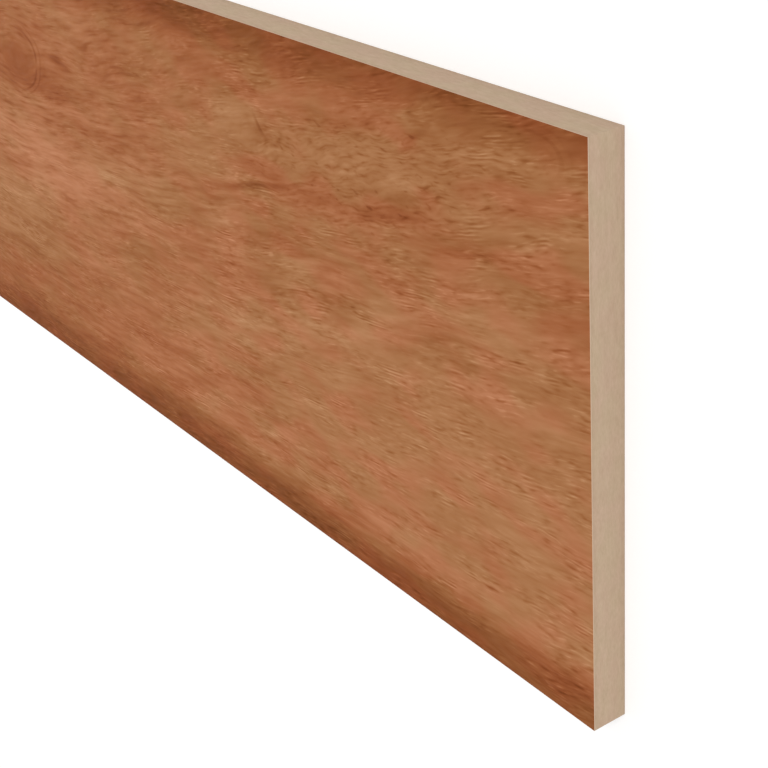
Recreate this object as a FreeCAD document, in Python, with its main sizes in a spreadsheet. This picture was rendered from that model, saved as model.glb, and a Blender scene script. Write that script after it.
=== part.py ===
# Stair riser board: a square-edged fibreboard core with a thin wood-look laminate bonded to its face.
# The board lies on its back with the face up: X runs along its length, Y up the riser and Z out of the face.
# The origin is the middle of the back, on the surface that the board lies on. Sizes are in millimetres.
import FreeCAD, Part
import os

import Sketcher

# Driving sizes: each name is a cell of the spreadsheet, and the solids are bound to these cells.
DRIVING_SIZES = (
    ("board_length", 1193.8, "stock length, 47 in, cut to the stair's width on site"),
    ("riser_height", 187.325, "height of the face on the stair, 7 3/8 in"),
    ("board_thickness", 12.7, "core and laminate together, 1/2 in"),
    ("laminate_thickness", 0.3, "printed laminate on the face"),
    ("trim_bevel", 0.1, "bevel that the trimming cutter leaves round the laminate"),
)

# The core fills what the laminate leaves of the board's thickness, and the laminate lies on top of it.
CORE_THICKNESS = "Sizes.board_thickness - Sizes.laminate_thickness"

# A section is drawn as this square, standing on the sketch's horizontal axis, and its constraints then size it.
DRAWN_SQUARE = ((-1, 0), (1, 0), (1, 2), (-1, 2))

# Sketcher's own numbers for a sketch's two axes and for the two ends of a line.
SKETCH_AXIS = {"horizontal": -1, "vertical": -2}
LINE_POINT = {"start": 1, "end": 2}

# Edges nearer to a level than this lie on it.
SAME_LEVEL = 1e-6

doc = FreeCAD.newDocument("StairRiserBoard")


def make_size_sheet():
    """The spreadsheet of driving sizes: a name, its number and what it measures on each row."""
    sheet = doc.addObject("Spreadsheet::Sheet", "Sizes")
    for row, (name, millimetres, meaning) in enumerate(DRIVING_SIZES, start=1):
        sheet.set(f"A{row}", name)
        sheet.set(f"B{row}", str(millimetres))
        sheet.set(f"C{row}", meaning)
        sheet.setAlias(f"B{row}", name)
    doc.recompute()


def draw_section(body, thickness):
    """A cross-section on the body's YZ plane: a rectangle as high as the riser, centred on the Z axis."""
    section = body.newObject("Sketcher::SketchObject", body.Label + "_section")
    yz_plane = next(plane for plane in body.Origin.OriginFeatures if plane.Role == "YZ_Plane")
    section.AttachmentSupport = [(yz_plane, "")]
    section.MapMode = "FlatFace"

    corners = [FreeCAD.Vector(y, z, 0) for y, z in DRAWN_SQUARE]
    bottom, right, top, left = (
        section.addGeometry(Part.LineSegment(corner, following), False)
        for corner, following in zip(corners, corners[1:] + corners[:1])
    )
    start, end = LINE_POINT["start"], LINE_POINT["end"]
    rules = [
        Sketcher.Constraint("Coincident", line, end, following, start)
        for line, following in ((bottom, right), (right, top), (top, left), (left, bottom))
    ]
    rules += [Sketcher.Constraint("Vertical", line) for line in (left, right)]
    rules += [
        Sketcher.Constraint("Horizontal", top),
        Sketcher.Constraint("Symmetric", bottom, start, bottom, end, SKETCH_AXIS["vertical"]),
        Sketcher.Constraint("PointOnObject", bottom, start, SKETCH_AXIS["horizontal"]),
    ]
    section.addConstraint(rules)

    for kind, line, name, expression in (
        ("DistanceX", bottom, "height", "Sizes.riser_height"),
        ("DistanceY", right, "thickness", thickness),
    ):
        drawn = section.Geometry[line].length()
        number = section.addConstraint(Sketcher.Constraint(kind, line, start, line, end, drawn))
        section.renameConstraint(number, name)
        section.setExpression("Constraints." + name, expression)
    return section


def make_sheet(label, thickness):
    """A flat sheet of the board's length and height: its section run out half to each side of the YZ plane."""
    body = doc.addObject("PartDesign::Body", label)
    pad = body.newObject("PartDesign::Pad", label + "_pad")
    pad.Profile = draw_section(body, thickness)
    pad.SideType = "Symmetric"
    pad.setExpression("Length", "Sizes.board_length")
    doc.recompute()
    return body


def make_core_board():
    """The fibreboard core, sawn square on all four edges, with the bare back at Z = 0."""
    return make_sheet("core_board", CORE_THICKNESS)


def make_face_laminate():
    """The laminate, seated on the core, trimmed flush with the sawn edges and bevelled round its face."""
    body = make_sheet("face_laminate", "Sizes.laminate_thickness")
    pad = body.Tip
    face_level = pad.Shape.BoundBox.ZMax
    face_edges = [
        f"Edge{number}"
        for number, edge in enumerate(pad.Shape.Edges, start=1)
        if edge.BoundBox.ZMin > face_level - SAME_LEVEL
    ]
    bevel = body.newObject("PartDesign::Chamfer", "face_laminate_bevel")
    bevel.Base = (pad, face_edges)
    bevel.setExpression("Size", "Sizes.trim_bevel")
    body.setExpression("Placement.Base.z", CORE_THICKNESS)
    return body


make_size_sheet()
sub_parts = [make_core_board(), make_face_laminate()]
doc.recompute()

for item in doc.Objects:
    if {"Invalid", "Error"} & set(item.State):
        raise RuntimeError(f"{item.Label} did not compute: {item.State}")
for part in sub_parts:
    if part.Shape.isNull() or not part.Shape.isValid():
        raise RuntimeError(f"{part.Label} has no valid shape")

os.makedirs("parts", exist_ok=True)
for part in sub_parts:
    part.Shape.exportStep(os.path.join("parts", part.Label + ".step"))
    box = part.Shape.BoundBox
    print(
        f"{part.Label}: {box.XLength:.3f} x {box.YLength:.3f} x {box.ZLength:.3f} mm,"
        f" Z {box.ZMin:.3f} to {box.ZMax:.3f}, {part.Shape.Volume:.1f} mm3"
    )
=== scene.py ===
# %% [markdown]
# # A stair riser board
# A riser board closes the upright gap between two treads of a stair. This one is a fibreboard core with a
# wood-look laminate pressed onto its face. Its edges are left as the saw cut them, so the beige core
# shows there. The measured solids come first: they are loaded as a fixed frame, and everything made here
# is fitted to them.

# %% Load the measured board
import math
from collections import namedtuple

import bmesh
import bpy
import numpy as np
from mathutils import Color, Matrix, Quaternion, Vector


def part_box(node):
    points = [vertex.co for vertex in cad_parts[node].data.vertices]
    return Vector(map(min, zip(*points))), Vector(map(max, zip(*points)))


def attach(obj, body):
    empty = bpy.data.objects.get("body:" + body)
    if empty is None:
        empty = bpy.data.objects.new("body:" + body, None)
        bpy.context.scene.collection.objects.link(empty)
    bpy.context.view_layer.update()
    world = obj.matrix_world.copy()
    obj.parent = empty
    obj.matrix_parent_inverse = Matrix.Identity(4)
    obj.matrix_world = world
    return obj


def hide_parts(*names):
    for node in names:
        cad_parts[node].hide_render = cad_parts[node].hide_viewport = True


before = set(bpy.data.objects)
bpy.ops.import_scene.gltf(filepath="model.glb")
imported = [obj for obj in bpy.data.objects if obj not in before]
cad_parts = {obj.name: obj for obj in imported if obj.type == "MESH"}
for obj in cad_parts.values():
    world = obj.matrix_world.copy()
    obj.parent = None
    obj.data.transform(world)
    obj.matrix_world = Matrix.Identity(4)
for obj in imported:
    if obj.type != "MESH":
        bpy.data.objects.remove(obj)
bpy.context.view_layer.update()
core_low, core_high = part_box("core_board")
face_low, face_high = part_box("face_laminate")
MM = 0.001

# %% [markdown]
# ## The camera
# The board lies on its back, so the camera looks down on it from beyond its right end. It is rolled about
# its line of sight, so that the board's height runs up the picture, as it does on a stair. It stands close
# by, so that the long edges run together toward the far end, and a fairly long lens fills the picture with
# the near end. Nothing is shifted, and no part is out of focus.

# %% Place the camera
CAMERA_PLACE = Vector((0.8859, 0.2258, 0.2708))
CAMERA_AIM = Vector((0.4971, -0.0134, 0.0127))
CAMERA_ROLL = math.radians(-111.25)
CAMERA_LENS_MM = 75.64
CAMERA_NEAREST = 0.01

scene = bpy.context.scene
camera_data = bpy.data.cameras.new("camera")
camera_data.lens = CAMERA_LENS_MM
camera_data.clip_start = CAMERA_NEAREST
camera = bpy.data.objects.new("camera", camera_data)
camera.location = CAMERA_PLACE
camera.rotation_mode = "QUATERNION"
level_view = (CAMERA_AIM - CAMERA_PLACE).to_track_quat("-Z", "Y")
camera.rotation_quaternion = level_view @ Quaternion((0, 0, 1), CAMERA_ROLL)
scene.collection.objects.link(camera)
scene.camera = camera
print("camera distance, metres:", round((CAMERA_AIM - CAMERA_PLACE).length, 3))

# %% [markdown]
# ## An evenly lit room
# Sheet products are shown in even studio light. A picture of a studio wrapped round the scene could give
# it, but a plain white room is easier to read and to change. The room lights the board with only part of
# its strength, so that a colour comes out about as it is written. What looks straight at the room, such
# as the camera or a reflection, still sees pure white. The Light Path node tells the two apart.

# %% Fill the room with light
ROOM_LIGHT = 0.55
WHITE = (1, 1, 1, 1)


def seen_directly(tree):
    """A socket: 1 for what the camera, a reflection or clear glass sees, and 0 for light on a surface."""
    path = tree.nodes.new("ShaderNodeLightPath")
    either = path.outputs["Is Camera Ray"]
    for name in ("Is Glossy Ray", "Is Transmission Ray"):
        larger = tree.nodes.new("ShaderNodeMath")
        larger.operation = "MAXIMUM"
        tree.links.new(either, larger.inputs[0])
        tree.links.new(path.outputs[name], larger.inputs[1])
        either = larger.outputs[0]
    return either


scene.view_settings.view_transform = "Standard"
room = bpy.data.worlds.new("room")
room.use_nodes = True
scene.world = room
room_tree = room.node_tree
room_tree.nodes.clear()
room_glow = room_tree.nodes.new("ShaderNodeBackground")
room_glow.inputs["Color"].default_value = WHITE
room_glow.inputs["Strength"].default_value = ROOM_LIGHT
room_white = room_tree.nodes.new("ShaderNodeBackground")
room_white.inputs["Color"].default_value = WHITE
room_mix = room_tree.nodes.new("ShaderNodeMixShader")
room_out = room_tree.nodes.new("ShaderNodeOutputWorld")
room_tree.links.new(seen_directly(room_tree), room_mix.inputs["Fac"])
room_tree.links.new(room_glow.outputs[0], room_mix.inputs[1])
room_tree.links.new(room_white.outputs[0], room_mix.inputs[2])
room_tree.links.new(room_mix.outputs[0], room_out.inputs["Surface"])
print("room light:", ROOM_LIGHT)

# %% [markdown]
# ## A soft lamp
# Light from all sides would hide the embossed grain, so one broad soft lamp over the board's top right
# corner gives the other part of the light, and each groove gets a lit and a shaded side. A sun lamp with
# a wide angle is like a large softbox far away: it lights the near and the far end of a long board alike,
# which an area lamp close by doesn't.

# %% Hang the lamp
LAMP_LIGHT = 1.85
LAMP_ELEVATION = math.radians(50)
LAMP_AZIMUTH = math.radians(40)
LAMP_SPREAD = math.radians(30)

lamp_data = bpy.data.lights.new("softbox", "SUN")
lamp_data.energy = LAMP_LIGHT
lamp_data.angle = LAMP_SPREAD
lamp = bpy.data.objects.new("softbox", lamp_data)
toward_lamp = Vector((
    math.cos(LAMP_ELEVATION) * math.cos(LAMP_AZIMUTH),
    math.cos(LAMP_ELEVATION) * math.sin(LAMP_AZIMUTH),
    math.sin(LAMP_ELEVATION),
))
lamp.rotation_mode = "QUATERNION"
lamp.rotation_quaternion = toward_lamp.to_track_quat("Z", "Y")
scene.collection.objects.link(lamp)
print("the lamp shines from", [round(part, 2) for part in toward_lamp])

# %% [markdown]
# ## A white floor
# The board lies on a pale floor that should look as white as the room and still take the board's shadow.
# A brighter lamp would bleach the board as well, so the floor gets a little light of its own, which only
# the camera and reflections see.

# %% Lay the floor
FLOOR_COLOUR = (0.8, 0.8, 0.8, 1)
FLOOR_LIFT = 0.24
FLOOR_HALF_WIDTH = 8.0

floor_material = bpy.data.materials.new("floor")
floor_material.use_nodes = True
floor_tree = floor_material.node_tree
floor_tree.nodes.clear()
floor_paint = floor_tree.nodes.new("ShaderNodeBsdfDiffuse")
floor_paint.inputs["Color"].default_value = FLOOR_COLOUR
floor_glow = floor_tree.nodes.new("ShaderNodeEmission")
floor_glow.inputs["Strength"].default_value = FLOOR_LIFT
floor_lit = floor_tree.nodes.new("ShaderNodeAddShader")
floor_mix = floor_tree.nodes.new("ShaderNodeMixShader")
floor_out = floor_tree.nodes.new("ShaderNodeOutputMaterial")
floor_tree.links.new(floor_paint.outputs[0], floor_lit.inputs[0])
floor_tree.links.new(floor_glow.outputs[0], floor_lit.inputs[1])
floor_tree.links.new(seen_directly(floor_tree), floor_mix.inputs["Fac"])
floor_tree.links.new(floor_paint.outputs[0], floor_mix.inputs[1])
floor_tree.links.new(floor_lit.outputs[0], floor_mix.inputs[2])
floor_tree.links.new(floor_mix.outputs[0], floor_out.inputs["Surface"])

floor_mesh = bpy.data.meshes.new("floor")
far = FLOOR_HALF_WIDTH
floor_corners = [(-far, -far, 0), (far, -far, 0), (far, far, 0), (-far, far, 0)]
floor_mesh.from_pydata(floor_corners, [], [(0, 1, 2, 3)])
floor_mesh.materials.append(floor_material)
floor = bpy.data.objects.new("floor", floor_mesh)
scene.collection.objects.link(floor)
print("floor, metres wide:", 2 * FLOOR_HALF_WIDTH)

# %% [markdown]
# ## Patterns as arithmetic
# Printed wood is many soft random patterns over each other, all stretched along one bent direction. Each
# pattern is a few nodes, and hundreds of nodes are hard to read as links. So a small class gives a node's
# output the usual signs of arithmetic, and a pattern can be written as a formula. The same formula works
# in a material, where it makes colour, and in geometry nodes, where it makes real relief, because both
# kinds of tree share these nodes. A pattern is given by the length and the width of its blotches, a layer
# that makes it differ from the others, and how much finer detail it has. A pair of numbers for an edge or
# a range says where a smooth step starts and where it ends.

# %% Give sockets the signs of arithmetic
class Amount:
    """A number that varies over a surface: the output of a node."""

    def __init__(self, tree, socket):
        self.tree = tree
        self.socket = socket

    def __add__(self, other):
        return worked_out(self.tree, "ADD", self, other)

    def __sub__(self, other):
        return worked_out(self.tree, "SUBTRACT", self, other)

    def __rsub__(self, other):
        return worked_out(self.tree, "SUBTRACT", other, self)

    def __mul__(self, other):
        return worked_out(self.tree, "MULTIPLY", self, other)

    def __truediv__(self, other):
        return worked_out(self.tree, "DIVIDE", self, other)

    __radd__ = __add__
    __rmul__ = __mul__


def feed(tree, socket, value):
    """Links an Amount to an input socket, or sets a plain number on it."""
    if isinstance(value, Amount):
        tree.links.new(value.socket, socket)
    else:
        socket.default_value = value


def worked_out(tree, operation, *values):
    """One Math node over the values."""
    node = tree.nodes.new("ShaderNodeMath")
    node.operation = operation
    for socket, value in zip(node.inputs, values):
        feed(tree, socket, value)
    return Amount(tree, node.outputs[0])


print("signs for amounts: + - * /")

# %% Step, blend, part and scatter
def eased(amount, start, end):
    """0 up to start and 1 from end on, with a smooth step between them; start may be the larger."""
    node = amount.tree.nodes.new("ShaderNodeMapRange")
    node.interpolation_type = "SMOOTHSTEP"
    feed(amount.tree, node.inputs["Value"], amount)
    node.inputs["From Min"].default_value = min(start, end)
    node.inputs["From Max"].default_value = max(start, end)
    node.inputs["To Min"].default_value = 0.0 if start < end else 1.0
    node.inputs["To Max"].default_value = 1.0 if start < end else 0.0
    return Amount(amount.tree, node.outputs["Result"])


def between(share, first, second):
    """The first number at a share of 0, the second at 1, and a blend of both between."""
    return share * (second - first) + first


def parted(tree, place):
    """The three coordinates that a socket holds."""
    node = tree.nodes.new("ShaderNodeSeparateXYZ")
    tree.links.new(place, node.inputs[0])
    return [Amount(tree, output) for output in node.outputs]


Pattern = namedtuple("Pattern", "length width layer detail")
NOISE_MIDDLE = 0.5


def noise(along, across, pattern, through=0.0):
    """Soft random blotches, about zero on average, as long and as wide as the pattern says."""
    tree = along.tree
    place = tree.nodes.new("ShaderNodeCombineXYZ")
    feed(tree, place.inputs["X"], along / pattern.length)
    feed(tree, place.inputs["Y"], across / pattern.width)
    feed(tree, place.inputs["Z"], through + pattern.layer)
    node = tree.nodes.new("ShaderNodeTexNoise")
    node.inputs["Scale"].default_value = 1.0
    node.inputs["Detail"].default_value = pattern.detail
    tree.links.new(place.outputs[0], node.inputs["Vector"])
    return Amount(tree, node.outputs[0]) - NOISE_MIDDLE


print("a pattern is given by:", ", ".join(Pattern._fields))

# %% [markdown]
# ## The run of the grain
# On the real laminate the grain is a picture of sawn wood: it rises gently to the right, more in the
# upper half, parts round a knot and curls in a patch of figure near the top right corner. To draw that,
# every point of the face is given a place in the wood: how far along the grain it is, and how far across.
# Straight patterns laid in those bent coordinates then follow the grain by themselves. A point also knows
# how far it lies inside four soft patches, where the print has a character of its own: the figure, the
# bold grain round the knot, the knot's heart and a quiet corner. And it knows how far to the right it is.
# All lengths are millimetres, and x is counted from the right end, where the board is seen best.

# %% Work out the place in the wood
RISE_MIDDLE = -60.0
RISE_LENGTH = 300.0
RISE_LOW = 0.08
RISE_HIGH = 0.25
WANDER = Pattern(260.0, 75.0, 3.1, 1.0)
WANDER_REACH = 16.0
RIPPLE = Pattern(36.0, 15.0, 7.7, 0.3)
RIPPLE_REACH = 4.8
CURL = Pattern(17.0, 10.0, 12.4, 1.0)
CURL_REACH = 6.5

Patch = namedtuple("Patch", "along up half_length half_height rise")
FIGURE = Patch(-105.0, 57.0, 85.0, 24.0, 0.19)
BOLD_GRAIN = Patch(-355.0, 45.0, 180.0, 85.0, 0.0)
KNOT_HEART = Patch(-366.0, 44.0, 20.0, 10.0, 0.0)
QUIET_CORNER = Patch(-50.0, -40.0, 120.0, 58.0, 0.0)
PATCH_EDGE = (1.0, 0.15)
TOWARD_RIGHT = (-280.0, 0.0)

Knot = namedtuple("Knot", "along up radius stretch")
KNOT = Knot(-366.0, 45.0, 13.0, 1.5)


class Wood:
    """A point's place in the wood, from a socket that holds its position in metres."""

    def __init__(self, tree, position):
        from_middle, self.y, self.z = (coordinate / MM for coordinate in parted(tree, position))
        self.tree = tree
        self.x = from_middle - face_high.x / MM
        self.loose_y = self.y + noise(self.x, self.y, RIPPLE) * RIPPLE_REACH
        self.figure = self.inside(FIGURE)
        self.bold = self.inside(BOLD_GRAIN)
        self.heart = self.inside(KNOT_HEART)
        self.quiet = self.inside(QUIET_CORNER)
        self.rightward = eased(self.x, *TOWARD_RIGHT)
        self.along = self.x
        self.across = self.bent()

    def inside(self, patch):
        """1 in the middle of a patch and 0 outside it."""
        out_x = (self.x - patch.along) / patch.half_length
        lean = patch.rise * patch.half_length / patch.half_height
        out_y = (self.y - patch.up) / patch.half_height - out_x * lean
        return eased(out_x * out_x + out_y * out_y, *PATCH_EDGE)

    def bent(self):
        """The height of a point, less the height that its line of grain has climbed on the way there."""
        upper = eased(self.y, face_low.y / MM, face_high.y / MM)
        climb = worked_out(self.tree, "SINE", (self.x - RISE_MIDDLE) / RISE_LENGTH) * RISE_LENGTH
        across = self.loose_y - climb * between(upper, RISE_LOW, RISE_HIGH)
        across += noise(self.x, self.y, WANDER) * WANDER_REACH
        across += noise(self.x, self.y, CURL) * self.figure * CURL_REACH
        off_x = (self.x - KNOT.along) / (KNOT.stretch * KNOT.radius)
        off_y = (self.y - KNOT.up) / KNOT.radius
        return across - (self.y - KNOT.up) / (off_x * off_x + off_y * off_y + 1.0)

    def pattern(self, which):
        """A pattern that follows the grain."""
        return noise(self.along, self.across, which)


print("grain rises by", RISE_LOW, "at the foot and", RISE_HIGH, "at the top")

# %% [markdown]
# ## Pores
# Pores are the fine dark dashes of open-grained wood. Most of them are only printed: they lie along the
# grain, scattered, and in places in neat rows. The largest, called grooves here, are drawn once and used
# twice: the print is darker in a groove, and the press plate sinks the laminate there, so that colour and
# relief lie on each other as on good laminate. They show most where the grain is bold, round the knot.

# %% Draw the pores
GROOVES = Pattern(11.0, 1.8, 88.4, 0.5)
DASHES = Pattern(5.6, 1.15, 15.8, 0.3)
CLUSTERS = Pattern(10.0, 3.0, 27.5, 0.5)
CLUSTER_SHARE = (0.1, 0.26)
ROW_BREAKS = Pattern(7.0, 2.5, 52.3, 0.5)
ROW_SPACING = 1.25
ROW_WANDER = 3.0


def rows_of_pores(wood):
    """Rows of short dashes along the grain, in clusters, from -1 to 1."""
    broken = wood.pattern(ROW_BREAKS) * ROW_WANDER
    row = worked_out(wood.tree, "SINE", wood.across * (2 * math.pi / ROW_SPACING) + broken)
    return row * eased(wood.pattern(CLUSTERS), *CLUSTER_SHARE)


def grooves(wood):
    """How deep a point lies in a groove: about 0.3 in the deepest, and below zero between grooves."""
    return wood.pattern(GROOVES)


print("pore rows, millimetres apart:", ROW_SPACING)

# %% [markdown]
# ## What the eye picks out
# Noise alone makes wood that looks the same all over. A real plank has places that the eye finds again: a
# knot with its rings, a dark streak, a pale band. They are listed here one by one, as soft ellipses that
# are lighter or darker than the wood round them and redder or more khaki, and as arcs that ring a knot or
# a curl on one side. The ripple of the grain bends their outlines, so that none looks like an ellipse. A
# mark's last two numbers are what it adds to the tone and to the hue. An arc leans by an angle and lies
# toward an angle, both in degrees.

# %% Set the marks and the arcs
Mark = namedtuple("Mark", "along up half_length half_width rise shade khaki")
MARKS = (
    Mark(-345, 1, 105, 22, 0.0, 0.115, -0.10),
    Mark(-385, -62, 190, 38, 0.0, -0.10, -0.02),
    Mark(-350, 41, 75, 16, 0.0, -0.075, -0.08),
    Mark(-364, 44, 27, 11, 0.0, -0.12, -0.05),
    Mark(-324, 50.5, 10, 2.8, 0.05, -0.20, 0.0),
    Mark(-320, 30, 170, 110, 0.0, 0.0, -0.10),
    Mark(-390, -36, 62, 28, 0.05, 0.05, 0.55),
    Mark(-292, 9, 30, 8, 0.05, 0.04, 0.30),
    Mark(-272, -45, 44, 9, 0.0, 0.05, 0.0),
    Mark(-260, -20, 48, 14, 0.05, -0.045, 0.18),
    Mark(-250, -60, 110, 26, 0.0, -0.02, -0.28),
    Mark(-243, 12, 28, 13, 0.1, 0.03, 0.50),
    Mark(-240, 26, 50, 12, 0.0, 0.04, 0.05),
    Mark(-225, 80, 50, 14, 0.0, -0.05, -0.10),
    Mark(-205, 40, 48, 16, 0.25, 0.05, 0.45),
    Mark(-195, -66, 36, 9, 0.0, -0.04, 0.0),
    Mark(-195, 8, 26, 8, 0.1, 0.0, -0.28),
    Mark(-178, 59, 26, 10, 0.25, 0.05, 0.40),
    Mark(-170, 37, 42, 2.6, 0.27, -0.21, -0.10),
    Mark(-165, 45, 27, 7.0, 0.27, -0.06, -0.20),
    Mark(-163, -46, 46, 14, 0.0, 0.04, 0.20),
    Mark(-152, 9, 26, 10, 0.1, 0.0, 0.36),
    Mark(-150, 73, 22, 9, 0.1, 0.05, 0.10),
    Mark(-140, 86, 60, 9, 0.0, 0.01, -0.25),
    Mark(-135, 25, 48, 13, 0.2, -0.05, -0.10),
    Mark(-105, 61, 70, 15, 0.15, 0.0, 0.45),
    Mark(-88, 46, 85, 15, 0.05, -0.08, -0.12),
    Mark(-100, 44, 18, 2.8, 0.30, -0.13, -0.10),
    Mark(-84, 49, 13, 2.4, 0.25, -0.13, -0.10),
    Mark(-80, 61, 28, 4.0, 0.27, 0.08, 0.30),
    Mark(-75, 76, 18, 2.4, 0.80, -0.12, -0.25),
    Mark(-75, 83, 6, 3.2, 0.0, -0.12, 0.30),
    Mark(-72, 30, 34, 9, 0.1, 0.02, -0.24),
    Mark(-88, -74, 82, 16, 0.0, 0.055, -0.15),
    Mark(-70, -22, 170, 80, 0.0, 0.05, 0.12),
    Mark(-52, -22, 62, 15, 0.0, 0.045, 0.22),
    Mark(-58, 14, 40, 12, 0.1, -0.03, -0.30),
    Mark(-58, 51, 38, 12, 0.1, -0.03, 0.18),
    Mark(-48, 47, 20, 2.2, 0.20, -0.08, -0.10),
    Mark(-40, 80, 46, 10, 0.0, -0.03, 0.30),
    Mark(-36, 74, 5, 3.0, 0.1, -0.10, 0.0),
    Mark(-40, 30, 46, 14, 0.1, 0.08, 0.10),
    Mark(-22, 52, 26, 11, 0.1, 0.0, -0.45),
)

Arc = namedtuple("Arc", "along up half_length half_height lean toward rings spacing shade")
ARCS = (
    Arc(-369, 44, 25, 14, 15, -15, 2, 4.6, -0.16),
    Arc(-156.5, 66, 10, 11, 0, -105, 1, 4.4, -0.26),
    Arc(-22, 84, 12, 6, 0, 40, 2, 5.0, -0.06),
)
ARC_ENDS = (0.1, 0.7)
ARC_BREAKS = Pattern(7.0, 7.0, 85.1, 1.0)
ARC_BROKEN = (-0.22, 0.04)
ARC_LINE = (-0.4, 1.0)
MARK_EDGE = (1.0, 0.1)


def around(tree, place, middle, turn, halves):
    """A point seen from an ellipse: its offset in half sizes, as a socket, and its distance, 1 on the rim."""
    mapping = tree.nodes.new("ShaderNodeMapping")
    mapping.vector_type = "TEXTURE"
    mapping.inputs["Location"].default_value = (*middle, 0)
    mapping.inputs["Rotation"].default_value = (0, 0, turn)
    mapping.inputs["Scale"].default_value = (*halves, 1)
    tree.links.new(place, mapping.inputs["Vector"])
    length = tree.nodes.new("ShaderNodeVectorMath")
    length.operation = "LENGTH"
    tree.links.new(mapping.outputs[0], length.inputs[0])
    return mapping.outputs[0], Amount(tree, length.outputs["Value"])


def marked(tree, place, mark):
    """1 in the middle of a mark and 0 outside it."""
    halves = (mark.half_length, mark.half_width)
    out = around(tree, place, (mark.along, mark.up), math.atan(mark.rise), halves)[1]
    return eased(out, *MARK_EDGE)


def ringed(wood, place, arc):
    """Broken ring lines on one side of an ellipse, 1 on a line."""
    tree = wood.tree
    offset, out = around(
        tree, place, (arc.along, arc.up), math.radians(arc.lean), (arc.half_length, arc.half_height)
    )
    off_x, off_y, _ = parted(tree, offset)
    toward = math.radians(arc.toward)
    facing = (off_x * math.cos(toward) + off_y * math.sin(toward)) / out
    spacing = arc.spacing / arc.half_length
    lines = worked_out(tree, "COSINE", (out - 1.0) * (2 * math.pi / spacing))
    last = 1.0 + spacing * arc.rings - spacing / 2
    reach = eased(out, 1.0 - spacing, 1.0) * eased(out, last, last - spacing)
    unbroken = eased(noise(wood.x, wood.y, ARC_BREAKS), *ARC_BROKEN)
    return eased(lines, *ARC_LINE) * reach * unbroken * eased(facing, *ARC_ENDS)


print(len(MARKS), "marks and", len(ARCS), "arcs")

# %% [markdown]
# ## The fine print
# Seen close up, the wood print is thousands of short strokes: dashes, rows of pores, pale hairs and tiny
# flecks. Drawing each stroke would never end, so each kind is one noise pattern with a strength of its
# own, and all are stronger in busy places. Noise is soft, and some real strokes are crisp, so the highest
# spots of a pattern get an extra shade. Dashes grow stronger toward the right end, rows and hairs fade in
# the figured patch, and all of them are calmer where the grain is bold. A pair of strengths holds for the
# two ends of a measure, such as the left and the right end, or calm and busy places.

# %% Shade the dashes, rows, hairs and flecks
PORE_SHADE = 0.1
PORE_GROWTH = (0.8, 1.55)
CRISP_PORES = (0.12, 0.34)
CRISP_PORE_SHADE = 0.05
ROW_SHADE = 0.085
HAIRS = Pattern(4.5, 0.66, 71.3, 0.3)
HAIR_SHADE = 0.065
CRISP_HAIRS = (-0.1, -0.3)
CRISP_HAIR_SHADE = 0.075
FLECKS = Pattern(2.6, 0.75, 21.4, 0.3)
FLECK_SHADE = 0.055
CRISP_FLECKS = (0.1, 0.3)
CRISP_FLECK_SHADE = 0.03
FIGURE_CALM = 0.8
BOLD_CALM = 0.45
BUSY = Pattern(26.0, 10.0, 33.1, 1.0)
BUSY_EDGE = (-0.15, 0.15)
BUSY_FIGURE = 0.1
BUSY_SHARE = (0.3, 1.62)


def printed_pores(wood):
    """The shade of the dashes, rows, hairs and flecks, in places busier than in others."""
    dash, hair, fleck = (wood.pattern(which) for which in (DASHES, HAIRS, FLECKS))
    hairs = hair * HAIR_SHADE - eased(hair, *CRISP_HAIRS) * CRISP_HAIR_SHADE
    dashes = dash * PORE_SHADE + eased(dash, *CRISP_PORES) * CRISP_PORE_SHADE
    flecks = fleck * FLECK_SHADE + eased(fleck, *CRISP_FLECKS) * CRISP_FLECK_SHADE
    shade = (rows_of_pores(wood) * ROW_SHADE + hairs) * (1.0 - wood.figure * FIGURE_CALM)
    shade += dashes * between(wood.rightward, *PORE_GROWTH) + flecks
    busy = eased(wood.pattern(BUSY) + wood.figure * BUSY_FIGURE, *BUSY_EDGE)
    return shade * between(busy, *BUSY_SHARE) * (1.0 - wood.bold * BOLD_CALM)


print("dashes grow", round(PORE_GROWTH[1] / PORE_GROWTH[0], 2), "times stronger toward the right end")

# %% [markdown]
# ## Grooves and ticks
# The pressed grooves are printed too, faintly in plain grain and dark where it is bold. In the figured
# patch the fibres of the wood come up to the face, where the saw cuts them into short ticks. The ticks lie
# along the board and not along the curled grain, which would smear them. The heart of the knot has hardly
# any fine detail.

# %% Shade the grooves and the ticks
CRISP_GROOVES = (0.08, 0.26)
CRISP_GROOVE_SHADE = 0.3
GROOVE_SHADE = (0.07, 0.22)
TICKS = Pattern(5.2, 2.1, 61.9, 1.5)
TICK_SHADE = 0.11
CRISP_TICKS = (0.12, 0.28)
CRISP_TICK_SHADE = 0.2
HEART_CALM = 0.8
QUIET_CALM = 0.1


def fine_tone(wood):
    """The shade of all fine detail: pores, grooves, and ticks in the figured patch."""
    groove = grooves(wood)
    deep = groove + eased(groove, *CRISP_GROOVES) * CRISP_GROOVE_SHADE
    tick = noise(wood.x, wood.loose_y, TICKS)
    ticks = tick * TICK_SHADE + eased(tick, *CRISP_TICKS) * CRISP_TICK_SHADE
    shade = printed_pores(wood) + deep * between(wood.bold, *GROOVE_SHADE) + ticks * wood.figure
    return shade * (1.0 - wood.heart * HEART_CALM) * (1.0 - wood.quiet * QUIET_CALM)


print("grooves shade by", GROOVE_SHADE[0], "in plain grain and", GROOVE_SHADE[1], "in bold grain")

# %% [markdown]
# ## Burnished bands
# Along the top and the foot the print is darker and warmer, as wood is where it has been burnished. A
# straight gradient would look sprayed on, so noise moves the edge of each band in and out, more at the
# foot than at the top. The bands are strongest at the left and grow fainter toward the right end, where
# the top one is narrower too.

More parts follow.
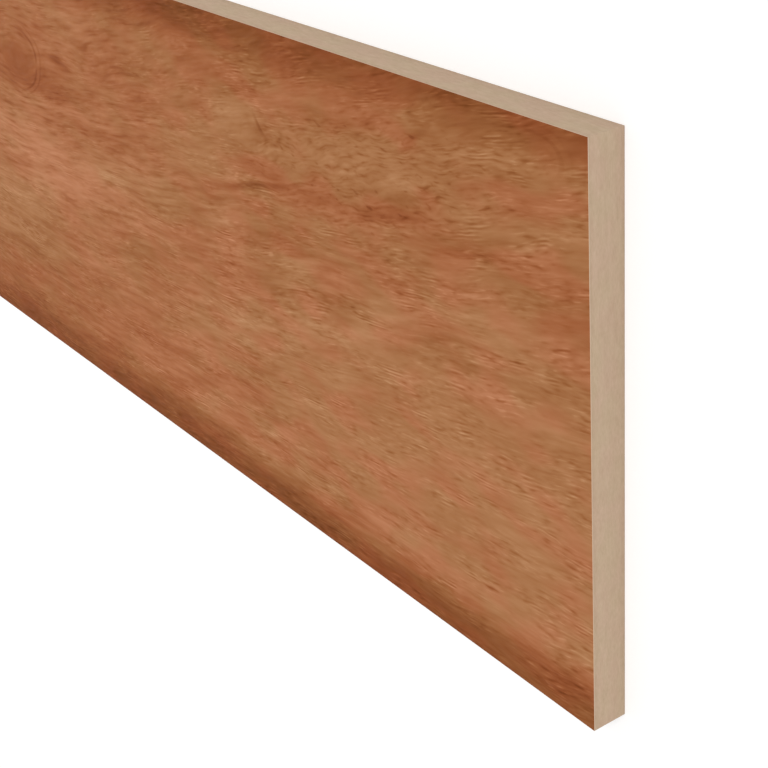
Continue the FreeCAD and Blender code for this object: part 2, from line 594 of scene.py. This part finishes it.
# %% Burnish the top and the foot
BURNISH_WOBBLE = Pattern(60.0, 18.0, 45.2, 2.0)
BURNISH_REACH = 7.0
BURNISH_STRENGTH = (1.16, 0.88)
TOP_BURNISH = (16.0, 2.0)
TOP_NARROWED = (-1.0, 2.0)
TOP_SHADE = 0.27
FOOT_BURNISH = (25.0, 1.0)
FOOT_WOBBLE = 2.5
FOOT_SHADE = 0.31


def burnish(wood):
    """The shade of the darker bands along the top and the foot."""
    wobble = noise(wood.x, wood.y, BURNISH_WOBBLE) * BURNISH_REACH
    from_top = face_high.y / MM - wood.y + wobble + between(wood.rightward, *TOP_NARROWED)
    from_foot = wood.y - face_low.y / MM + wobble * FOOT_WOBBLE
    shade = eased(from_top, *TOP_BURNISH) * TOP_SHADE + eased(from_foot, *FOOT_BURNISH) * FOOT_SHADE
    return shade * between(wood.rightward, *BURNISH_STRENGTH)


print("burnished bands, millimetres:", TOP_BURNISH[0], "at the top and", FOOT_BURNISH[0], "at the foot")

# %% [markdown]
# ## Tone
# All of this adds up to one number for each point of the face, the tone, which is 0.5 on average. Broad
# bands, soft patches and streaks give it a slow drift, and the fine print and the burnished bands are
# taken off. The patches and streaks are livelier in the lower half, but not in the quiet corner.

# %% Add up the tone
MIDDLE_TONE = 0.493
BROAD = Pattern(200.0, 30.0, 1.2, 2.0)
BROAD_SHADE = 0.16
PATCHES = Pattern(44.0, 11.0, 4.6, 2.0)
PATCH_SHADE = 0.25
STREAKS = Pattern(17.0, 2.6, 9.3, 1.2)
STREAK_SHADE = 0.24
UPPER_PART = (8.0, 38.0)
UPPER_SHADE = 0.03
LIVELINESS = (1.22, 0.96)
QUIET_STREAKS = 0.66


def plain_tone(wood):
    """The tone without the marks and the arcs."""
    upper = eased(wood.y, *UPPER_PART)
    liveliness = between(upper, *LIVELINESS) - wood.quiet * QUIET_STREAKS
    lively = wood.pattern(PATCHES) * PATCH_SHADE + wood.pattern(STREAKS) * STREAK_SHADE
    tone = wood.pattern(BROAD) * BROAD_SHADE + lively * liveliness + MIDDLE_TONE
    return tone - fine_tone(wood) - burnish(wood) - upper * UPPER_SHADE


print("middle tone:", MIDDLE_TONE)

# %% [markdown]
# ## Colour
# A colour ramp turns the tone into wood colours, from dark red brown to pale tan. Wood also drifts
# between red and khaki at the same tone, so a second pattern, the hue, tints the ramp's colour a little
# to either side, and less round the knot. The colours are written as they look on a screen, from 0 to
# 255, and turned into linear light. The sheen of the surface adds a little white to every colour, so that
# much is taken off first.

# %% Turn screen colours into light
SCREEN_WHITE = 255
LEAST_LIGHT = 0.004


def paint(levels, less=0.0):
    """A colour for a socket, from three screen levels, with some white light taken off."""
    light = Color([level / SCREEN_WHITE for level in levels]).from_srgb_to_scene_linear()
    return [max(part - less, LEAST_LIGHT) for part in light] + [1]


def mixed(tree, share, first, second, how="MIX"):
    """A Mix node over two colours, each a socket or four numbers; share is an Amount or a number."""
    node = tree.nodes.new("ShaderNodeMix")
    node.data_type = "RGBA"
    node.blend_type = how
    feed(tree, node.inputs["Factor"], share)
    for socket, colour in zip([each for each in node.inputs if each.type == "RGBA"], (first, second)):
        if isinstance(colour, bpy.types.NodeSocket):
            tree.links.new(colour, socket)
        else:
            socket.default_value = colour
    return next(each for each in node.outputs if each.type == "RGBA")


half_white = [SCREEN_WHITE / 2] * 3
print("half of a screen's white is", round(paint(half_white)[0], 3), "of its light")

# %% Start a finish
MIDDLE_HEIGHT = 0.5


def new_finish(name, specular):
    """A material, its node tree and its shader."""
    finish = bpy.data.materials.new(name)
    finish.use_nodes = True
    surface = finish.node_tree.nodes["Principled BSDF"]
    surface.inputs["Specular IOR Level"].default_value = specular
    return finish, finish.node_tree, surface


def roughen(tree, surface, height, millimetres):
    """Bump on a shader: a height from 0 to 1 stands for so many millimetres."""
    bump = tree.nodes.new("ShaderNodeBump")
    bump.inputs["Strength"].default_value = 1.0
    bump.inputs["Distance"].default_value = millimetres * MM
    feed(tree, bump.inputs["Height"], height)
    tree.links.new(bump.outputs[0], surface.inputs["Normal"])


print("bump heights vary about", MIDDLE_HEIGHT)

# %% Tint the tone
HUES = Pattern(19.0, 9.5, 39.7, 0.6)
HUE_REACH = 1.6
CALM_HUE = Patch(-400.0, 0.0, 250.0, 400.0, 0.0)
HUE_CALM = 0.58
HUE_RANGE = (-0.3, 0.3)
RED_TINT = (1.033, 0.96, 0.987, 1)
KHAKI_TINT = (0.965, 1.045, 1.015, 1)
WOOD_COLOURS = {
    0.0: (112, 62, 35),
    0.2: (137, 79, 47),
    0.38: (156, 97, 61),
    0.5: (169, 112, 75),
    0.62: (182, 126, 89),
    0.8: (197, 143, 106),
    1.0: (208, 158, 121),
}
SHEEN_WHITE = 0.012


def tone_and_khaki(wood):
    """The tone, and how far the hue leans to khaki, with the marks and the arcs laid on."""
    tree = wood.tree
    tone = plain_tone(wood)
    hue_reach = (1.0 - wood.inside(CALM_HUE) * HUE_CALM) * HUE_REACH
    khaki = noise(wood.x, wood.loose_y, HUES) * hue_reach
    place = tree.nodes.new("ShaderNodeCombineXYZ")
    feed(tree, place.inputs["X"], wood.x)
    feed(tree, place.inputs["Y"], wood.loose_y)
    for mark in MARKS:
        share = marked(tree, place.outputs[0], mark)
        tone += share * mark.shade
        khaki += share * mark.khaki
    for arc in ARCS:
        tone += ringed(wood, place.outputs[0], arc) * arc.shade
    return tone, khaki


def wood_colour(tree, tone, khaki):
    """The ramp's colour for a tone, tinted red or khaki."""
    ramp = tree.nodes.new("ShaderNodeValToRGB")
    feed(tree, ramp.inputs["Fac"], tone)
    stops = ramp.color_ramp.elements
    for tone_between in list(WOOD_COLOURS)[1:-1]:
        stops.new(tone_between)
    for stop, levels in zip(stops, WOOD_COLOURS.values()):
        stop.color = paint(levels, SHEEN_WHITE)
    tint = mixed(tree, eased(khaki, *HUE_RANGE), RED_TINT, KHAKI_TINT)
    return mixed(tree, 1.0, ramp.outputs[0], tint, "MULTIPLY")


print("wood colours:", len(WOOD_COLOURS))

# %% [markdown]
# ## The wood print
# The laminate has one finish for all of its sides. On the face it is the print. Below the bevel, where the
# trimming cutter went through the sheet, its paler paper shows, and that pale line is also a painted
# highlight along the trimmed edge. A second material there would do the same, but the depth below the face
# tells the two apart as well. The dashes are a little rougher than the wood round them, and the flecks are
# a bump too fine for the mesh.

# %% Mix the wood print
# The cut edge's pale colour is partly the paper's own and partly a painted highlight along the trimmed edge.
PALE_EDGE_AND_HIGHLIGHT_COLOUR = (208, 186, 163)
CUT_EDGE_DEPTH = (0.10, 0.085)
LAMINATE_SPECULAR = 0.1
LAMINATE_ROUGHNESS = 0.7
PORE_ROUGHNESS = 0.3
FLECK_RELIEF = 0.05


def make_wood_print():
    """The laminate's finish."""
    finish, tree, surface = new_finish("wood_print", LAMINATE_SPECULAR)
    wood = Wood(tree, tree.nodes.new("ShaderNodeTexCoord").outputs["Object"])
    on_face = eased(face_high.z / MM - wood.z, *CUT_EDGE_DEPTH)
    face_colour = wood_colour(tree, *tone_and_khaki(wood))
    # Below the bevel: the paper's pale colour, with a painted highlight along the edge.
    colour = mixed(tree, on_face, paint(PALE_EDGE_AND_HIGHLIGHT_COLOUR, SHEEN_WHITE), face_colour)
    tree.links.new(colour, surface.inputs["Base Color"])
    rough = wood.pattern(DASHES) * PORE_ROUGHNESS + LAMINATE_ROUGHNESS
    feed(tree, surface.inputs["Roughness"], rough)
    roughen(tree, surface, MIDDLE_HEIGHT - wood.pattern(FLECKS), FLECK_RELIEF)
    print("wood print:", len(tree.nodes), "nodes")
    return finish


wood_print = make_wood_print()

# %% [markdown]
# ## The laminate's sheet
# Laminate is a thin hard sheet: flat on the core, trimmed flush with a router, which leaves a fine bevel
# round the face. A box would do for the outline, but the embossed grooves need points to move, so the
# face is a fine grid. Its cells are long along the grain, where the grooves are long too. The open rim of
# the grid is drawn out and down for the bevel, down for the cut edge, and closed underneath.

# %% Build the sheet
CELLS_ALONG = 350
CELLS_ACROSS = 271
GRID_HALF_WIDTH = 0.5
TRIM_BEVEL = 0.1 * MM
SHARP_EDGE = math.radians(30)


def draw_rim(draft, stretch, drop):
    """Draws the open rim of a mesh out by a stretch about the board's middle, and down by a drop."""
    rim = [edge for edge in draft.edges if edge.is_boundary]
    drawn = bmesh.ops.extrude_edge_only(draft, edges=rim)["geom"]
    corners = [item for item in drawn if isinstance(item, bmesh.types.BMVert)]
    bmesh.ops.scale(draft, vec=stretch, verts=corners)
    bmesh.ops.translate(draft, vec=(0, 0, -drop), verts=corners)


def new_mesh(draft, name):
    """A finished mesh from a draft, smooth but for its sharp edges."""
    bmesh.ops.recalc_face_normals(draft, faces=draft.faces)
    mesh = bpy.data.meshes.new(name)
    draft.to_mesh(mesh)
    draft.free()
    mesh.shade_smooth()
    mesh.set_sharp_from_angle(angle=SHARP_EDGE)
    return mesh


def make_sheet():
    """The laminate's mesh: a grid for the face, the bevel, the cut edge and the underside."""
    outer = face_high - face_low
    inner = outer - Vector((2 * TRIM_BEVEL, 2 * TRIM_BEVEL, 0))
    draft = bmesh.new()
    bmesh.ops.create_grid(draft, x_segments=CELLS_ALONG, y_segments=CELLS_ACROSS, size=GRID_HALF_WIDTH)
    bmesh.ops.scale(draft, vec=(inner.x, inner.y, 1), verts=draft.verts)
    bmesh.ops.translate(draft, vec=(0, 0, face_high.z), verts=draft.verts)
    draw_rim(draft, (outer.x / inner.x, outer.y / inner.y, 1), TRIM_BEVEL)
    draw_rim(draft, (1, 1, 1), outer.z - TRIM_BEVEL)
    bmesh.ops.holes_fill(draft, edges=[edge for edge in draft.edges if edge.is_boundary])
    return new_mesh(draft, "wood_face")


sheet_mesh = make_sheet()
print("laminate sheet:", len(sheet_mesh.polygons), "faces")

# %% [markdown]
# ## A map for baking
# A finish made of nodes can be baked to a picture, which needs a flat map of the mesh. An automatic map
# gives each side pixels by its size, so a thin edge gets almost none. Here the map is made one side at a
# time instead: each of the six sides of a board fills a strip of the square, as high as that side deserves.
# A bevel that leans halfway goes with the edge and not with the face.

# %% Unroll a board into strips
MAP_MARGIN = 0.004
XYZ = 3
EDGE_FIRST = np.array((1.0, 1.0, 0.9))
Strips = namedtuple("Strips", "right left top foot face back")
AXIS_AND_SIGN = Strips(right=(0, 1), left=(0, -1), top=(1, 1), foot=(1, -1), face=(2, 1), back=(2, -1))
AXES_OF_STRIP = ((1, 2), (0, 2), (0, 1))
SHEET_STRIPS = Strips(right=0.02, left=0.02, top=0.02, foot=0.02, face=0.88, back=0.04)


def numbers(items, name, width):
    """One property of many items as an array."""
    values = np.empty(len(items) * width, dtype=np.float32)
    items.foreach_get(name, values)
    return values.reshape(len(items), width)


def unroll(mesh, low, high, heights):
    """Lays each side of a board in a strip of the map: u runs along the board, or up it on the two ends."""
    places = numbers(mesh.vertices, "co", XYZ)
    shares = (places - np.array(low)) / np.array(high - low)
    corner_of = numbers(mesh.loops, "vertex_index", 1).astype(int)[:, 0]
    face_size = numbers(mesh.polygons, "loop_total", 1).astype(int)[:, 0]
    normals = np.repeat(numbers(mesh.polygons, "normal", XYZ), face_size, axis=0)
    axis = np.argmax(np.abs(normals) * EDGE_FIRST, axis=1)
    sign = np.sign(normals[np.arange(len(axis)), axis])
    corner_share = shares[corner_of]
    spots = np.zeros((len(corner_of), 2), dtype=np.float32)
    bottom = 0.0
    for height, (strip_axis, strip_sign) in zip(heights, AXIS_AND_SIGN):
        here = (axis == strip_axis) & (sign == strip_sign)
        across, up = AXES_OF_STRIP[strip_axis]
        spots[here, 0] = MAP_MARGIN + corner_share[here, across] * (1 - 2 * MAP_MARGIN)
        spots[here, 1] = bottom + MAP_MARGIN + corner_share[here, up] * (height - 2 * MAP_MARGIN)
        bottom += height
    mesh.uv_layers.new(name="OFBake").uv.foreach_set("vector", spots.ravel())
    print(mesh.name, "map is", round(bottom, 3), "high")


unroll(sheet_mesh, face_low, face_high, SHEET_STRIPS)

# %% [markdown]
# ## Embossed grain
# The press plate sinks the grooves a few hundredths of a millimetre into the laminate, so that the wood
# can be felt. A bump in the material would only look like that. Geometry nodes move the grid's points
# instead, by the same formula that darkens the grooves, and only downward, so the board gets no thicker.
# The relief fades out at the edges, where the trimming cutter runs along a flat sheet. The result is then
# kept as a plain mesh.

# %% Press the grain in
EMBOSS_DEPTH = 0.06
EMBOSS_RANGE = (-0.05, 0.2)
EMBOSS_FADE = (0.3, 4.0)


def make_emboss_nodes():
    """Geometry nodes that sink each point by the depth of its groove."""
    tree = bpy.data.node_groups.new("embossed_grain", "GeometryNodeTree")
    tree.interface.new_socket("Geometry", in_out="INPUT", socket_type="NodeSocketGeometry")
    tree.interface.new_socket("Geometry", in_out="OUTPUT", socket_type="NodeSocketGeometry")
    wood = Wood(tree, tree.nodes.new("GeometryNodeInputPosition").outputs[0])
    nearest = wood.x * -1.0
    board_length = (face_high.x - face_low.x) / MM
    for distance in (wood.x + board_length, wood.y - face_low.y / MM, face_high.y / MM - wood.y):
        nearest = worked_out(tree, "MINIMUM", nearest, distance)
    depth = eased(grooves(wood), *EMBOSS_RANGE) * eased(nearest, *EMBOSS_FADE) * EMBOSS_DEPTH
    offset = tree.nodes.new("ShaderNodeCombineXYZ")
    feed(tree, offset.inputs["Z"], depth * -MM)
    moved = tree.nodes.new("GeometryNodeSetPosition")
    tree.links.new(tree.nodes.new("NodeGroupInput").outputs[0], moved.inputs["Geometry"])
    tree.links.new(offset.outputs[0], moved.inputs["Offset"])
    tree.links.new(moved.outputs[0], tree.nodes.new("NodeGroupOutput").inputs[0])
    return tree


wood_face = bpy.data.objects.new("wood_face", sheet_mesh)
scene.collection.objects.link(wood_face)
wood_face.modifiers.new("press", "NODES").node_group = make_emboss_nodes()
graph = bpy.context.evaluated_depsgraph_get()
pressed = bpy.data.meshes.new_from_object(
    wood_face.evaluated_get(graph), preserve_all_data_layers=True, depsgraph=graph
)
wood_face.modifiers.clear()
wood_face.data = pressed
pressed.materials.clear()
pressed.materials.append(wood_print)
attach(wood_face, "root")
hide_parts("face_laminate")
grid_points = (CELLS_ALONG + 1) * (CELLS_ACROSS + 1)
sunk = (face_high.z - numbers(pressed.vertices, "co", XYZ)[:grid_points, 2]) / MM
print("relief, millimetres: mean", round(float(sunk.mean()), 3), "most", round(float(sunk.max()), 3))

# %% [markdown]
# ## The fibreboard core
# The core is a slab of medium-density fibreboard, sawn square. Its upper edges are sharp under the
# laminate, and the four edges of the back are rubbed down a little, as a sawn board's are before it is
# packed. A box with those four edges bevelled is all that it is, so it is made that way.

# %% Build the core
RUBBED_EDGE = 0.25 * MM
RUBBED_STEPS = 3
ROUND_PROFILE = 0.5
TOUCHING = 0.01 * MM
CORE_STRIPS = Strips(right=0.14, left=0.14, top=0.18, foot=0.18, face=0.02, back=0.34)


def make_core():
    """The core's mesh: a box whose four back edges are rounded."""
    draft = bmesh.new()
    bmesh.ops.create_cube(draft, size=1.0)
    bmesh.ops.scale(draft, vec=core_high - core_low, verts=draft.verts)
    bmesh.ops.translate(draft, vec=(core_low + core_high) / 2, verts=draft.verts)
    near_back = core_low.z + TOUCHING
    back_edges = [edge for edge in draft.edges if all(end.co.z < near_back for end in edge.verts)]
    bmesh.ops.bevel(
        draft,
        geom=back_edges,
        offset=RUBBED_EDGE,
        segments=RUBBED_STEPS,
        profile=ROUND_PROFILE,
        affect="EDGES",
    )
    return new_mesh(draft, "fibreboard_core")


core_mesh = make_core()
unroll(core_mesh, core_low, core_high, CORE_STRIPS)
print("core:", len(core_mesh.polygons), "faces")

# %% [markdown]
# ## Fibreboard
# Fibreboard is wood ground to fibres and pressed flat, so it looks felted: fine pale and dark fibres that
# lie in the plane of the board, with no grain. Its pressed faces are denser and a little darker than its
# middle. Noise in three dimensions draws that on every side at once, squeezed through the thickness, so
# that the sawn edges show layers and the back shows blotches. Very soft larger noise drifts between pink
# and straw.

# %% Mix the fibreboard
MIDDLE_FELT = 0.5
FIBRES = Pattern(1.6, 1.6, 3.7, 2.0)
FIBRE_THICKNESS = 0.4
FIBRE_SHADE = 0.9
BUNDLES = Pattern(5.0, 5.0, 11.9, 1.0)
BUNDLE_THICKNESS = 1.3
BUNDLE_SHADE = 0.7
BLUSH = Pattern(13.0, 13.0, 23.5, 1.0)
BLUSH_THICKNESS = 6.0
BLUSH_RANGE = (-0.2, 0.2)
DENSE_SKIN = (2.0, 0.2)
DENSE_SHADE = 0.2
FIBRE_DARK = (183, 157, 131)
FIBRE_PALE = (203, 178, 153)
PINK_TINT = (1.01, 0.985, 1.0, 1)
STRAW_TINT = (0.99, 1.01, 0.985, 1)
FIBREBOARD_SPECULAR = 0.15
FIBREBOARD_ROUGHNESS = 0.9
FIBRE_ROUGHNESS = 0.2
FIBRE_RELIEF = 0.015


def make_fibreboard():
    """The core's finish."""
    finish, tree, surface = new_finish("fibreboard", FIBREBOARD_SPECULAR)
    position = tree.nodes.new("ShaderNodeTexCoord").outputs["Object"]
    x, y, z = (coordinate / MM for coordinate in parted(tree, position))
    fibres = noise(x, y, FIBRES, z / FIBRE_THICKNESS)
    bundles = noise(x, y, BUNDLES, z / BUNDLE_THICKNESS)
    from_skin = worked_out(tree, "MINIMUM", z - core_low.z / MM, core_high.z / MM - z)
    dense = eased(from_skin, *DENSE_SKIN) * DENSE_SHADE
    paleness = fibres * FIBRE_SHADE + bundles * BUNDLE_SHADE - dense + MIDDLE_FELT
    felt = mixed(tree, paleness, paint(FIBRE_DARK), paint(FIBRE_PALE))
    blush = noise(x, y, BLUSH, z / BLUSH_THICKNESS)
    tint = mixed(tree, eased(blush, *BLUSH_RANGE), PINK_TINT, STRAW_TINT)
    tree.links.new(mixed(tree, 1.0, felt, tint, "MULTIPLY"), surface.inputs["Base Color"])
    feed(tree, surface.inputs["Roughness"], fibres * FIBRE_ROUGHNESS + FIBREBOARD_ROUGHNESS)
    roughen(tree, surface, fibres + MIDDLE_HEIGHT, FIBRE_RELIEF)
    print("fibreboard:", len(tree.nodes), "nodes")
    return finish


core_mesh.materials.append(make_fibreboard())
fibreboard_core = bpy.data.objects.new("fibreboard_core", core_mesh)
scene.collection.objects.link(fibreboard_core)
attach(fibreboard_core, "root")
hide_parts("core_board")
